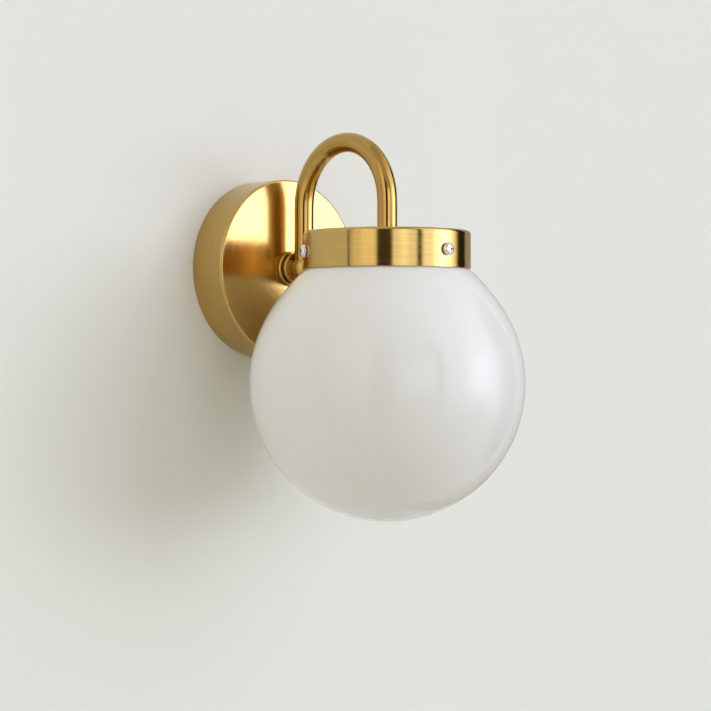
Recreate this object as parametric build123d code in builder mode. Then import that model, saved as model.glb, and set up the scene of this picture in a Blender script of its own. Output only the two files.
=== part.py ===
from build123d import *
import os
from math import cos, radians, sin, sqrt

os.makedirs("parts", exist_ok=True)

# A globe wall sconce, in millimetres. The wall is the plane Y = 0, the lamp stands out along -Y
# and +Z is up. The origin is the centre of the canopy's open back.
# "out" is a distance from the wall, "z" is a height above the canopy's centre.

# Clearances
thread_gap = 0.05       # radial, a thread in its nut or tapped hole, or a screw that turns in one
pass_gap = 0.2          # radial, a stem or a screw through a plain hole
loose_gap = 0.3         # between pieces that move past each other, or that only rest together

# Canopy: spun cup, open at the wall
canopy_d = 102.0
canopy_depth = 25.0
canopy_wall = 1.2
canopy_edge_r = 1.5

# Crossbar: pressed strap on the wall, its ends bent out into tapped ears
strap_w = 20.0
strap_t = 2.0
strap_bend_r = 1.5
ear_reach = 14.0
ear_screw_out = 9.0
ear_corner_r = 4.0
ear_gap = 0.6
slot_w = 4.5
slot_length = 18.0
slot_inset = 15.2
lead_hole_d = 12.0

# Canopy screws: flush grub screws, one above and one below
grub_d = 4.0
grub_length = 7.0
grub_hex = 2.0
grub_hex_depth = 2.0

# Earth screw and its washer
earth_up = 15.0
earth_screw_d = 4.0
earth_head_d = 7.5
earth_head_h = 2.6
earth_head_edge_r = 0.8
earth_washer_d = 9.0
earth_washer_t = 0.8
drive_slot_w = 0.9
drive_slot_depth = 1.0
screw_end_inset = 0.3

# Terminal block: two poles, below the lead hole
block_w = 17.0
block_h = 12.0
block_t = 13.0
block_gap = 3.0
block_edge_r = 0.8
pole_pitch = 9.0
tube_out = 5.5
tube_d = 5.0
tube_bore_d = 3.0
tube_inset = 1.0
clamp_screw_d = 3.0
clamp_pitch = 5.2
clamp_sunk = 1.5
clamp_stand = 0.6
fixing_d = 3.0
fixing_head_d = 5.5
fixing_head_h = 2.0
fixing_seat = 8.6

# Hollow screwed stem: one thread for the elbow, both ends of the arm and both nuts
stem_d = 10.0
stem_bore_d = 7.0
stem_tail = 2.0
nut_across = 14.0
nut_t = 4.0
washer_d = 18.0
washer_t = 1.0
washer_teeth = 12
washer_tooth_w = 1.4
washer_tooth_depth = 1.8

# Collars between the canopy and the elbow
collar_ring_d = 20.0
collar_ring_t = 2.6
collar_ring_edge_r = 1.1
seat_hub_d = 15.0
seat_hub_t = 1.2
seat_flange_d = 18.0
seat_flange_t = 2.4
seat_edge_r = 1.0

# Elbow: ball with a short neck
ball_d = 14.5
neck_d = 11.0
collar_gap = 0.3

# Arm: gooseneck tube
arm_d = 11.0
arm_bore_d = 8.0
arm_rise = 34.8
arm_front_leg = 17.0
arm_screwed_in = 4.5

# Globe: blown glass with a neck and a rolled lip
globe_d = 150.0
glass_t = 2.8
glass_neck_d = 80.0
glass_neck_fillet = 3.0
lip_reach = 2.5
lip_h = 5.3
lip_edge_r = 1.7
globe_to_canopy = 5.0
shoulder_gap = 2.7

# Holder: drawn cup over the globe's neck
cap_wall = 1.2
cap_h = 20.5
cap_edge_r = 1.8
lip_side_gap = 1.8
gasket_t = 2.4
gasket_w = 5.0

# Globe screws, with pan heads and cross recesses, and the tapped inserts that carry them
globe_screw_names = ["globe_screw_front", "globe_screw_right", "globe_screw_left"]
globe_screw_d = 3.5
screw_head_d = 7.0
screw_head_h = 2.6
screw_head_edge_r = 1.3
recess_across = 4.1
recess_w = 1.0
recess_depth = 1.1
recess_centre_d = 2.0
recess_centre_depth = 1.7
insert_flange_d = 8.0
insert_spigot_d = 5.5
insert_lip_gap = 0.4

# Socket
socket_thread_h = 6.0
socket_hub_d = 18.0
socket_cap_drop = 17.8
socket_cap_wall = 2.0
socket_shoulder_drop = 9.0
socket_d = 39.0
socket_mouth_d = 37.0
socket_body_h = 32.0
socket_body_wall = 2.3
socket_ledge_w = 1.7
socket_rim_h = 2.0
socket_rim_slope = 1.0
socket_mouth_edge_r = 1.0
core_grip = 1.2
core_t = 5.0
core_boss_t = 2.8
core_hole_d = 3.4
shell_wall = 0.5
shell_lip = 1.0
shell_inset = 1.0
terminal_pitch = 20.0
terminal_screw_d = 3.5
terminal_head_d = 6.4
terminal_head_h = 2.2
terminal_screw_l = 4.0
leaf_t = 0.5
leaf_w = 5.0
leaf_root = 8.0
leaf_ramp = 2.0
leaf_tip = 2.0
leaf_drop = 2.2

# Lamp
bulb_thread_d = 26.1
bulb_thread_h = 20.5
bulb_button_d = 9.0
bulb_button_h = 1.5
bulb_button_edge_r = 0.7
bulb_insulator_h = 3.2
bulb_insulator_top_d = 11.0
bulb_skirt_d = 27.6
bulb_neck_h = 15.0
bulb_d = 45.0
bulb_globe_drop = 10.5
bulb_globe_t = 1.2
bulb_cap_wall = 0.4

# Worked out: radii
canopy_r = canopy_d / 2
canopy_in_r = canopy_r - canopy_wall
stem_r = stem_d / 2
arm_r = arm_d / 2
ball_r = ball_d / 2
globe_r = globe_d / 2
glass_neck_r = glass_neck_d / 2
lip_r = glass_neck_r + lip_reach
cap_in_r = lip_r + lip_side_gap
cap_r = cap_in_r + cap_wall
shank_r = globe_screw_d / 2
socket_r = socket_d / 2
socket_in_r = socket_r - socket_body_wall
bulb_r = bulb_d / 2
thread_r = stem_r + thread_gap
plain_hole_r = stem_r + pass_gap

# Worked out: distances from the wall
neck_reach = arm_r + collar_gap
seat_out = canopy_depth + collar_ring_t
flange_out = seat_out + seat_hub_t
neck_out = flange_out + seat_flange_t
arm_out = neck_out + neck_reach
globe_out = canopy_depth + globe_to_canopy + globe_r
arm_bend_r = (globe_out - arm_out) / 2
canopy_roof_out = canopy_depth - canopy_wall
stem_nut_out = canopy_roof_out - washer_t
stem_end_out = stem_nut_out - nut_t - stem_tail

# Worked out: half length of the strap, and what lies along it
strap_half = sqrt(canopy_in_r**2 - (strap_w / 2) ** 2) - ear_gap
slot_up = strap_half - slot_inset
block_z = -(lead_hole_d / 2 + block_gap + block_h / 2)
block_front = strap_t + block_t
tube_axis_out = strap_t + tube_out

# Worked out: heights, from the elbow up over the arm and down to the lamp
elbow_flat_z = sqrt(ball_r**2 - arm_r**2)
cap_top_z = arm_rise - arm_front_leg
cap_roof_z = cap_top_z - cap_wall
cap_rim_z = cap_top_z - cap_h
lip_top_z = cap_roof_z - gasket_t - loose_gap
lip_under_z = lip_top_z - lip_h
screw_z = lip_under_z - loose_gap - shank_r
globe_z = cap_rim_z - shoulder_gap - sqrt(globe_r**2 - cap_r**2)
cap_nut_z = cap_roof_z - washer_t
socket_top_z = cap_nut_z - nut_t
arm_end_z = socket_top_z - socket_thread_h
core_top_z = socket_top_z - socket_cap_drop
core_under_z = core_top_z - core_t
boss_under_z = core_under_z - core_boss_t
socket_mouth_z = core_top_z - socket_body_h
button_top_z = boss_under_z - leaf_t - leaf_drop - loose_gap
insulator_top_z = button_top_z - bulb_button_h
bulb_cap_top_z = insulator_top_z - bulb_insulator_h
bulb_cap_end_z = bulb_cap_top_z - bulb_thread_h
bulb_neck_end_z = bulb_cap_end_z - bulb_neck_h
bulb_z = bulb_neck_end_z - bulb_globe_drop

# Planes and axes that several pieces share, and how near an edge lies to the place it is picked by
near = 0.01
drop_axis = Axis((0, -globe_out, 0), (0, 0, 1))
drop_plane = Plane.XZ.offset(globe_out)         # across the holder, X sideways and Z up
side_plane = Plane.YZ                           # the plane of the arm, -Y out and Z up


def level(z):
    """Horizontal plane at height z, centred on the holder's axis."""
    return Plane(origin=(0, -globe_out, z), x_dir=(1, 0, 0), z_dir=(0, 0, 1))


def radial(angle, reach, z):
    """Plane square to a radius of the holder, facing out; 0 degrees points away from the wall."""
    turn = radians(angle)
    away = Vector(sin(turn), -cos(turn), 0)
    across = Vector(cos(turn), sin(turn), 0)
    return Plane(origin=(away.X * reach, away.Y * reach - globe_out, z), x_dir=across, z_dir=away)


screw_angles = [360 / len(globe_screw_names) * i for i in range(len(globe_screw_names))]

# ---------------------------------------------------------------- on the wall

# Spun brass cup. Its front is pierced for the stem, and its wall for the two grub screws.
with BuildPart() as canopy:
    with BuildSketch(side_plane):
        with BuildLine():
            Polyline(
                (0, canopy_in_r),
                (0, canopy_r),
                (-canopy_depth, canopy_r),
                (-canopy_depth, plain_hole_r),
                (-canopy_roof_out, plain_hole_r),
                (-canopy_roof_out, canopy_in_r),
                close=True,
            )
        make_face()
    revolve(axis=Axis.Y)
    front_rim = canopy.edges().filter_by(GeomType.CIRCLE).group_by(Axis.Y)[0].sort_by(SortBy.RADIUS)[-1]
    fillet(front_rim, radius=canopy_edge_r)
    with BuildSketch(Plane.XY):
        with Locations((0, -ear_screw_out)):
            Circle(grub_d / 2 + pass_gap)
    extrude(amount=canopy_r + canopy_wall, both=True, mode=Mode.SUBTRACT)

# Pressed strap with round bends; slots for the box screws, and a hole for the supply leads.
with BuildPart() as crossbar:
    with BuildSketch(side_plane) as strap_side:
        with BuildLine():
            Polyline(
                (0, -strap_half),
                (-ear_reach, -strap_half),
                (-ear_reach, strap_t - strap_half),
                (-strap_t, strap_t - strap_half),
                (-strap_t, strap_half - strap_t),
                (-ear_reach, strap_half - strap_t),
                (-ear_reach, strap_half),
                (0, strap_half),
                close=True,
            )
        make_face()
        outer_bends = strap_side.vertices().group_by(Axis.X)[-1]
        fillet(outer_bends, radius=strap_bend_r + strap_t)
        inner_bends = [v for v in strap_side.vertices() if abs(v.X + strap_t) < near]
        fillet(inner_bends, radius=strap_bend_r)
    extrude(amount=strap_w / 2, both=True)
    ear_corners = crossbar.edges().filter_by(Axis.Z).group_by(Axis.Y)[0]
    fillet(ear_corners, radius=ear_corner_r)
    with BuildSketch(Plane.XZ):
        Circle(lead_hole_d / 2)
        with Locations((0, slot_up), (0, -slot_up)):
            SlotOverall(slot_length, slot_w, rotation=90)
        with Locations((0, earth_up)):
            Circle(earth_screw_d / 2 + thread_gap)
        with Locations((0, block_z)):
            Circle(fixing_d / 2 + thread_gap)
    extrude(amount=strap_t, mode=Mode.SUBTRACT)
    with BuildSketch(Plane.XY):
        with Locations((0, -ear_screw_out)):
            Circle(grub_d / 2 + thread_gap)
    extrude(amount=strap_half, both=True, mode=Mode.SUBTRACT)

# Grub screws with a hexagon socket, just under the canopy's surface.
with BuildPart() as canopy_screws:
    for side in (1, -1):
        grub_end = Plane(origin=(0, -ear_screw_out, side * (canopy_r - pass_gap)), z_dir=(0, 0, side))
        with BuildSketch(grub_end):
            Circle(grub_d / 2)
        extrude(amount=-grub_length)
        with BuildSketch(grub_end):
            RegularPolygon(grub_hex / 2, 6, major_radius=False)
        extrude(amount=-grub_hex_depth, mode=Mode.SUBTRACT)

# Flat washer under the earth screw's head.
with BuildPart() as earth_washer:
    with BuildSketch(Plane.XZ.offset(strap_t)):
        with Locations((0, earth_up)):
            Circle(earth_washer_d / 2)
            Circle(earth_screw_d / 2 + pass_gap, mode=Mode.SUBTRACT)
    extrude(amount=earth_washer_t)

# Pan head screw with a straight slot.
with BuildPart() as earth_screw:
    earth_seat = Plane.XZ.offset(strap_t + earth_washer_t)
    with BuildSketch(earth_seat):
        with Locations((0, earth_up)):
            Circle(earth_head_d / 2)
    extrude(amount=earth_head_h)
    fillet(earth_screw.edges().group_by(Axis.Y)[0], radius=earth_head_edge_r)
    with BuildSketch(earth_seat):
        with Locations((0, earth_up)):
            Circle(earth_screw_d / 2)
    extrude(amount=screw_end_inset - strap_t - earth_washer_t)
    with BuildSketch(earth_seat.offset(earth_head_h)):
        with Locations((0, earth_up)):
            Rectangle(earth_head_d, drive_slot_w)
    extrude(amount=-drive_slot_depth, mode=Mode.SUBTRACT)

# Moulded block, with a bore for each pole's tube and a well for each screw.
pole_x = [-pole_pitch / 2, pole_pitch / 2]
clamp_places = [(x, block_z + up) for x in pole_x for up in (-clamp_pitch / 2, clamp_pitch / 2)]
with BuildPart() as terminal_block:
    with BuildSketch(Plane.XZ.offset(strap_t)):
        with Locations((0, block_z)):
            RectangleRounded(block_w, block_h, block_edge_r)
    extrude(amount=block_t)
    with BuildSketch(Plane.XY.offset(block_z)):
        with Locations(*[(x, -tube_axis_out) for x in pole_x]):
            Circle(tube_d / 2 + thread_gap)
    extrude(amount=block_h, both=True, mode=Mode.SUBTRACT)
    with BuildSketch(Plane.XZ.offset(tube_axis_out)):
        with Locations(*clamp_places):
            Circle(clamp_screw_d / 2 + pass_gap)
    extrude(amount=block_t, mode=Mode.SUBTRACT)
    with BuildSketch(Plane.XZ):
        with Locations((0, block_z)):
            Circle(fixing_d / 2 + pass_gap)
    extrude(amount=block_front, mode=Mode.SUBTRACT)
    with BuildSketch(Plane.XZ.offset(strap_t + fixing_seat)):
        with Locations((0, block_z)):
            Circle(fixing_head_d / 2 + pass_gap)
    extrude(amount=block_t, mode=Mode.SUBTRACT)

# Brass tubes that join lead to lead, each tapped for two screws.
with BuildPart() as terminal_tubes:
    with BuildSketch(Plane.XY.offset(block_z)):
        with Locations(*[(x, -tube_axis_out) for x in pole_x]):
            Circle(tube_d / 2)
            Circle(tube_bore_d / 2, mode=Mode.SUBTRACT)
    extrude(amount=block_h / 2 - tube_inset, both=True)
    with BuildSketch(Plane.XZ.offset(tube_axis_out)):
        with Locations(*clamp_places):
            Circle(clamp_screw_d / 2 + thread_gap)
    extrude(amount=tube_d, mode=Mode.SUBTRACT)

# Clamping screws, slotted and without heads.
with BuildPart() as terminal_screws:
    with BuildSketch(Plane.XZ.offset(tube_axis_out + clamp_stand)):
        with Locations(*clamp_places):
            Circle(clamp_screw_d / 2)
    extrude(amount=block_front - clamp_sunk - tube_axis_out - clamp_stand)
    with BuildSketch(Plane.XZ.offset(block_front - clamp_sunk)):
        with Locations(*clamp_places):
            Rectangle(clamp_screw_d, drive_slot_w)
    extrude(amount=-drive_slot_depth, mode=Mode.SUBTRACT)

# Screw that holds the block on the strap.
with BuildPart() as terminal_fixing_screw:
    fixing_face = Plane.XZ.offset(strap_t + fixing_seat)
    with BuildSketch(fixing_face):
        with Locations((0, block_z)):
            Circle(fixing_head_d / 2)
    extrude(amount=fixing_head_h)
    with BuildSketch(fixing_face):
        with Locations((0, block_z)):
            Circle(fixing_d / 2)
    extrude(amount=screw_end_inset - strap_t - fixing_seat)
    with BuildSketch(fixing_face.offset(fixing_head_h)):
        with Locations((0, block_z)):
            Rectangle(fixing_head_d, drive_slot_w)
    extrude(amount=-drive_slot_depth, mode=Mode.SUBTRACT)

# ---------------------------------------------------------------- arm

# Toothed lock washer inside the canopy, against its front.
with BuildPart() as stem_washer:
    with BuildSketch(Plane.XZ.offset(stem_nut_out)):
        Circle(washer_d / 2)
        Circle(plain_hole_r, mode=Mode.SUBTRACT)
        with PolarLocations(washer_d / 2, washer_teeth):
            Rectangle(2 * washer_tooth_depth, washer_tooth_w, mode=Mode.SUBTRACT)
    extrude(amount=washer_t)

# Thin hexagon nut that draws the elbow and its collars on to the canopy.
with BuildPart() as stem_nut:
    with BuildSketch(Plane.XZ.offset(stem_nut_out)):
        RegularPolygon(nut_across / 2, 6, major_radius=False)
        Circle(thread_r, mode=Mode.SUBTRACT)
    extrude(amount=-nut_t)

# Wide turned ring with round edges, flat against the canopy.
with BuildPart() as collar_ring:
    with BuildSketch(Plane.XZ.offset(canopy_depth)):
        Circle(collar_ring_d / 2)
        Circle(plain_hole_r, mode=Mode.SUBTRACT)
    extrude(amount=collar_ring_t)
    collar_rims = collar_ring.edges().filter_by(GeomType.CIRCLE).group_by(SortBy.RADIUS)[-1]
    fillet(collar_rims, radius=collar_ring_edge_r)

# Stepped ring: a narrow hub leaves a groove behind the flange that the elbow's neck sits on.
with BuildPart() as collar_seat:
    with BuildSketch(Plane.XZ.offset(flange_out)):
        Circle(seat_flange_d / 2)
    extrude(amount=seat_flange_t)
    fillet(collar_seat.edges(), radius=seat_edge_r)
    with BuildSketch(Plane.XZ.offset(seat_out)):
        Circle(seat_hub_d / 2)
    extrude(amount=seat_hub_t)
    with BuildSketch(Plane.XZ.offset(seat_out)):
        Circle(plain_hole_r)
    extrude(amount=seat_hub_t + seat_flange_t, mode=Mode.SUBTRACT)

# Cast brass ball, turned with a neck and a hollow screwed stem, and tapped from above for the arm.
with BuildPart() as elbow:
    with Locations((0, -arm_out, 0)):
        Sphere(ball_r)
    with BuildSketch(Plane.XZ.offset(neck_out)):
        Circle(neck_d / 2)
    extrude(amount=neck_reach)
    with BuildSketch(Plane.XZ.offset(stem_end_out)):
        Circle(stem_r)
    extrude(amount=neck_out - stem_end_out)
    with BuildSketch(Plane.XZ.offset(stem_end_out)):
        Circle(stem_bore_d / 2)
    extrude(amount=arm_out - stem_end_out, mode=Mode.SUBTRACT)
    with BuildSketch(Plane(origin=(0, -arm_out, elbow_flat_z))):
        Circle(ball_r)
    extrude(amount=ball_r, mode=Mode.SUBTRACT)
    with BuildSketch(Plane(origin=(0, -arm_out, elbow_flat_z))):
        Circle(thread_r)
    extrude(amount=-(arm_screwed_in + loose_gap), mode=Mode.SUBTRACT)

# Gooseneck: one drawn tube, up from the elbow, over a half circle and down to the holder.
# Both ends are turned down to the stem's thread and stop at a shoulder.
riser_foot = Plane(origin=(0, -arm_out, elbow_flat_z))
leg_foot = level(cap_top_z)
with BuildPart() as arm_tube:
    with BuildLine() as arm_line:
        Line((0, -arm_out, elbow_flat_z), (0, -arm_out, arm_rise))
        bend_top = (0, -(arm_out + globe_out) / 2, arm_rise + arm_bend_r)
        ThreePointArc((0, -arm_out, arm_rise), bend_top, (0, -globe_out, arm_rise))
        Line((0, -globe_out, arm_rise), (0, -globe_out, cap_top_z))
    with BuildSketch(riser_foot):
        Circle(arm_r)
        Circle(arm_bore_d / 2, mode=Mode.SUBTRACT)
    sweep(path=arm_line.wires()[0])
    for foot, length in ((riser_foot, arm_screwed_in), (leg_foot, cap_top_z - arm_end_z)):
        with BuildSketch(foot):
            Circle(stem_r)
            Circle(arm_bore_d / 2, mode=Mode.SUBTRACT)
        extrude(amount=-length)

# ---------------------------------------------------------------- holder

# Drawn brass cup with a round top edge, pierced for the arm and for the three inserts.
with BuildPart() as holder_cap:
    with BuildSketch(level(cap_rim_z)):
        Circle(cap_r)
    extrude(amount=cap_h)
    fillet(holder_cap.edges().group_by(Axis.Z)[-1], radius=cap_edge_r)
    with BuildSketch(level(cap_rim_z)):
        Circle(cap_in_r)
    extrude(amount=cap_h - cap_wall, mode=Mode.SUBTRACT)
    roof_corner = holder_cap.edges().filter_by(GeomType.CIRCLE).filter_by(
        lambda e: abs(e.center().Z - cap_roof_z) < near
    )
    fillet(roof_corner, radius=max(cap_edge_r - cap_wall, pass_gap))
    with BuildSketch(level(cap_roof_z)):
        Circle(plain_hole_r)
    extrude(amount=cap_wall, mode=Mode.SUBTRACT)
    for angle in screw_angles:
        with BuildSketch(radial(angle, glass_neck_r, screw_z)):
            Circle(insert_spigot_d / 2 + thread_gap)
        extrude(amount=cap_r, mode=Mode.SUBTRACT)

# Same toothed washer and thin nut as in the canopy, under the holder's roof.
with BuildPart() as cap_washer:
    with BuildSketch(level(cap_nut_z)):
        Circle(washer_d / 2)
        Circle(plain_hole_r, mode=Mode.SUBTRACT)
        with PolarLocations(washer_d / 2, washer_teeth):
            Rectangle(2 * washer_tooth_depth, washer_tooth_w, mode=Mode.SUBTRACT)
    extrude(amount=washer_t)

with BuildPart() as cap_nut:
    with BuildSketch(level(cap_nut_z)):
        RegularPolygon(nut_across / 2, 6, major_radius=False)
        Circle(thread_r, mode=Mode.SUBTRACT)
    extrude(amount=-nut_t)

# Tapped brass inserts, pressed out through the holder's wall from inside.
insert_back = lip_r + insert_lip_gap
insert_shoulder = sqrt(cap_in_r**2 - (insert_flange_d / 2) ** 2)
insert_front = sqrt(cap_r**2 - (insert_spigot_d / 2) ** 2)
with BuildPart() as screw_inserts:
    for angle in screw_angles:
        with BuildSketch(radial(angle, insert_back, screw_z)):
            Circle(insert_flange_d / 2)
        extrude(amount=insert_shoulder - insert_back)
        with BuildSketch(radial(angle, insert_shoulder, screw_z)):
            Circle(insert_spigot_d / 2)
        extrude(amount=insert_front - insert_shoulder)
        with BuildSketch(radial(angle, insert_back, screw_z)):
            Circle(shank_r + thread_gap)
        extrude(amount=insert_front - insert_back, mode=Mode.SUBTRACT)

# Bright screws: a plain tip under the globe's lip, and a pan head with a cross recess.
screw_tip = glass_neck_r + loose_gap
screw_head_back = cap_r + loose_gap
for screw_name, angle in zip(globe_screw_names, screw_angles):
    with BuildPart() as globe_screw:
        with BuildSketch(radial(angle, screw_head_back, screw_z)):
            Circle(screw_head_d / 2)
        extrude(amount=screw_head_h)
        head_face = radial(angle, screw_head_back + screw_head_h, screw_z)
        head_rim = globe_screw.edges().filter_by(GeomType.CIRCLE).sort_by_distance(head_face.origin)[0]
        fillet(head_rim, radius=screw_head_edge_r)
        with BuildSketch(radial(angle, screw_tip, screw_z)):
            Circle(shank_r)
        extrude(amount=screw_head_back - screw_tip)
        with BuildSketch(head_face):
            Rectangle(recess_across, recess_w)
            Rectangle(recess_w, recess_across)
        extrude(amount=-recess_depth, mode=Mode.SUBTRACT)
        with BuildSketch(head_face):
            Circle(recess_centre_d / 2)
        extrude(amount=-recess_centre_depth, mode=Mode.SUBTRACT)
    globe_screw.part.label = screw_name
    export_step(globe_screw.part, f"parts/{screw_name}.step")

# Soft ring on the holder's roof, just clear of the lip, that stops the glass from rattling.
with BuildPart() as globe_gasket:
    with BuildSketch(level(cap_roof_z)):
        Circle(lip_r)
        Circle(lip_r - gasket_w, mode=Mode.SUBTRACT)
    extrude(amount=-gasket_t)

# Blown opal globe. The neck leaves the ball in a small sweep, and its lip is rolled outwards.
glass_in_r = globe_r - glass_t
neck_in_r = glass_neck_r - glass_t
neck_foot_z = globe_z + sqrt(globe_r**2 - glass_neck_r**2)
neck_in_foot_z = globe_z + sqrt(glass_in_r**2 - neck_in_r**2)
with BuildPart() as globe:
    with BuildSketch(drop_plane) as globe_half:
        with BuildLine():
            Line((0, globe_z - glass_in_r), (0, globe_z - globe_r))
            ThreePointArc((0, globe_z - globe_r), (globe_r, globe_z), (glass_neck_r, neck_foot_z))
            Polyline(
                (glass_neck_r, neck_foot_z),
                (glass_neck_r, lip_under_z),
                (lip_r, lip_under_z),
                (lip_r, lip_top_z),
                (neck_in_r, lip_top_z),
                (neck_in_r, neck_in_foot_z),
            )
            ThreePointArc((neck_in_r, neck_in_foot_z), (glass_in_r, globe_z), (0, globe_z - glass_in_r))
        make_face()
        neck_corner = globe_half.vertices().sort_by_distance((glass_neck_r, neck_foot_z))[0]
        fillet(neck_corner, radius=glass_neck_fillet)
    revolve(axis=drop_axis)
    lip_edges = globe.edges().filter_by(GeomType.CIRCLE).filter_by(
        lambda e: abs(e.radius - lip_r) < near
    )
    fillet(lip_edges, radius=lip_edge_r)

# ---------------------------------------------------------------- lamp holder, inside the globe

# Moulded dome, screwed up the end of the arm against the nut.
shoulder_z = socket_top_z - socket_shoulder_drop
with BuildPart() as socket_cap:
    with BuildSketch(drop_plane):
        with BuildLine():
            Polyline(
                (thread_r, arm_end_z),
                (thread_r, socket_top_z),
                (socket_hub_d / 2, socket_top_z),
                (socket_r, shoulder_z),
                (socket_r, core_top_z),
                (socket_in_r - core_grip, core_top_z),
                (socket_in_r - core_grip, shoulder_z - socket_cap_wall),
                (socket_hub_d / 2, arm_end_z),
                close=True,
            )
        make_face()
    revolve(axis=drop_axis)

# Moulded sleeve. An inner ledge carries the core, and the mouth is turned in round the shell.
shell_in_r = bulb_thread_d / 2 + loose_gap
shell_out_r = shell_in_r + shell_wall
socket_ledge_r = socket_in_r - socket_ledge_w
mouth_in_r = shell_out_r + shell_lip + pass_gap
with BuildPart() as socket_body:
    with BuildSketch(drop_plane):
        with BuildLine():
            Polyline(
                (socket_in_r, core_top_z),
                (socket_r, core_top_z),
                (socket_mouth_d / 2, socket_mouth_z),
                (mouth_in_r, socket_mouth_z),
                (mouth_in_r, socket_mouth_z + socket_rim_h),
                (socket_ledge_r, socket_mouth_z + socket_rim_h + socket_rim_slope),
                (socket_ledge_r, core_under_z),
                (socket_in_r, core_under_z),
                close=True,
            )
        make_face()
    revolve(axis=drop_axis)
    mouth_edges = socket_body.edges().group_by(Axis.Z)[0].sort_by(SortBy.RADIUS)[-1]
    fillet(mouth_edges, radius=socket_mouth_edge_r)

# Ceramic disc with a boss, drilled for the leads' screws.
terminal_x = [-terminal_pitch / 2, terminal_pitch / 2]
with BuildPart() as socket_core:
    with BuildSketch(level(core_under_z)):
        Circle(socket_in_r - pass_gap)
    extrude(amount=core_t)
    with BuildSketch(level(core_under_z)):
        Circle(shell_in_r - pass_gap)
    extrude(amount=-core_boss_t)
    with BuildSketch(level(core_top_z)):
        with Locations(*[(x, 0) for x in terminal_x]):
            Circle(terminal_screw_d / 2 + thread_gap)
    extrude(amount=-terminal_screw_l - loose_gap, mode=Mode.SUBTRACT)
    with BuildSketch(level(core_top_z)):
        with Locations((0, terminal_pitch / 2), (0, -terminal_pitch / 2)):
            Circle(core_hole_d / 2)
    extrude(amount=-core_t - core_boss_t, mode=Mode.SUBTRACT)

# Metal sleeve that the lamp screws into, flared at its mouth.
shell_end_z = socket_mouth_z + shell_inset
with BuildPart() as socket_shell:
    with BuildSketch(drop_plane):
        with BuildLine():
            Polyline(
                (shell_in_r, core_under_z),
                (shell_out_r, core_under_z),
                (shell_out_r, shell_end_z + shell_lip),
                (shell_out_r + shell_lip, shell_end_z),
                (shell_in_r + shell_lip, shell_end_z),
                (shell_in_r, shell_end_z + shell_lip),
                close=True,
            )
        make_face()
    revolve(axis=drop_axis)

# Spring leaf under the boss: a flat root, and a tongue that dips to the lamp's button.
with BuildPart() as socket_contact:
    with BuildSketch(drop_plane):
        with BuildLine():
            Polyline(
                (-leaf_root, boss_under_z),
                (-leaf_ramp, boss_under_z),
                (0, boss_under_z - leaf_drop),
                (leaf_tip, boss_under_z - leaf_drop),
                (leaf_tip, boss_under_z - leaf_drop - leaf_t),
                (-leaf_t, boss_under_z - leaf_drop - leaf_t),
                (-leaf_ramp - leaf_t, boss_under_z - leaf_t),
                (-leaf_root, boss_under_z - leaf_t),
                close=True,
            )
        make_face()
    extrude(amount=leaf_w / 2, both=True)

# Screws that clamp the leads on top of the core.
with BuildPart() as socket_terminals:
    for head_x in terminal_x:
        with BuildSketch(level(core_top_z)):
            with Locations((head_x, 0)):
                Circle(terminal_head_d / 2)
        extrude(amount=terminal_head_h)
        with BuildSketch(level(core_top_z)):
            with Locations((head_x, 0)):
                Circle(terminal_screw_d / 2)
        extrude(amount=-terminal_screw_l)
        with BuildSketch(level(core_top_z + terminal_head_h)):
            with Locations((head_x, 0)):
                Rectangle(terminal_head_d, drive_slot_w)
        extrude(amount=-drive_slot_depth, mode=Mode.SUBTRACT)

# ---------------------------------------------------------------- lamp

# Soldered button at the end of the lamp's cap.
with BuildPart() as bulb_contact:
    with BuildSketch(level(insulator_top_z)):
        Circle(bulb_button_d / 2)
    extrude(amount=bulb_button_h)
    fillet(bulb_contact.edges().group_by(Axis.Z)[-1], radius=bulb_button_edge_r)

# Glass insulator between the button and the threaded cap.
with BuildPart() as bulb_insulator:
    with BuildSketch(drop_plane):
        with BuildLine():
            Polyline(
                (0, bulb_cap_top_z),
                (bulb_thread_d / 2 - bulb_cap_wall, bulb_cap_top_z),
                (bulb_insulator_top_d / 2, insulator_top_z),
                (0, insulator_top_z),
                close=True,
            )
        make_face()
    revolve(axis=drop_axis)

# Threaded metal cap.
with BuildPart() as bulb_base:
    with BuildSketch(level(bulb_cap_end_z)):
        Circle(bulb_thread_d / 2)
        Circle(bulb_thread_d / 2 - bulb_cap_wall, mode=Mode.SUBTRACT)
    extrude(amount=bulb_thread_h)

# Moulded neck of the lamp, filled by its driver, with a spigot inside the metal cap.
bulb_seam_r = sqrt(bulb_r**2 - bulb_globe_drop**2)
with BuildPart() as bulb_body:
    with BuildSketch(drop_plane):
        with BuildLine():
            Line((0, bulb_cap_top_z), (bulb_thread_d / 2 - bulb_cap_wall, bulb_cap_top_z))
            Line((bulb_thread_d / 2 - bulb_cap_wall, bulb_cap_top_z),
                 (bulb_thread_d / 2 - bulb_cap_wall, bulb_cap_end_z))
            Line((bulb_thread_d / 2 - bulb_cap_wall, bulb_cap_end_z), (bulb_skirt_d / 2, bulb_cap_end_z))
            Line((bulb_skirt_d / 2, bulb_cap_end_z), (bulb_seam_r, bulb_neck_end_z))
            Line((bulb_seam_r, bulb_neck_end_z), (0, bulb_neck_end_z))
            Line((0, bulb_neck_end_z), (0, bulb_cap_top_z))
        make_face()
    revolve(axis=drop_axis)

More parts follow.
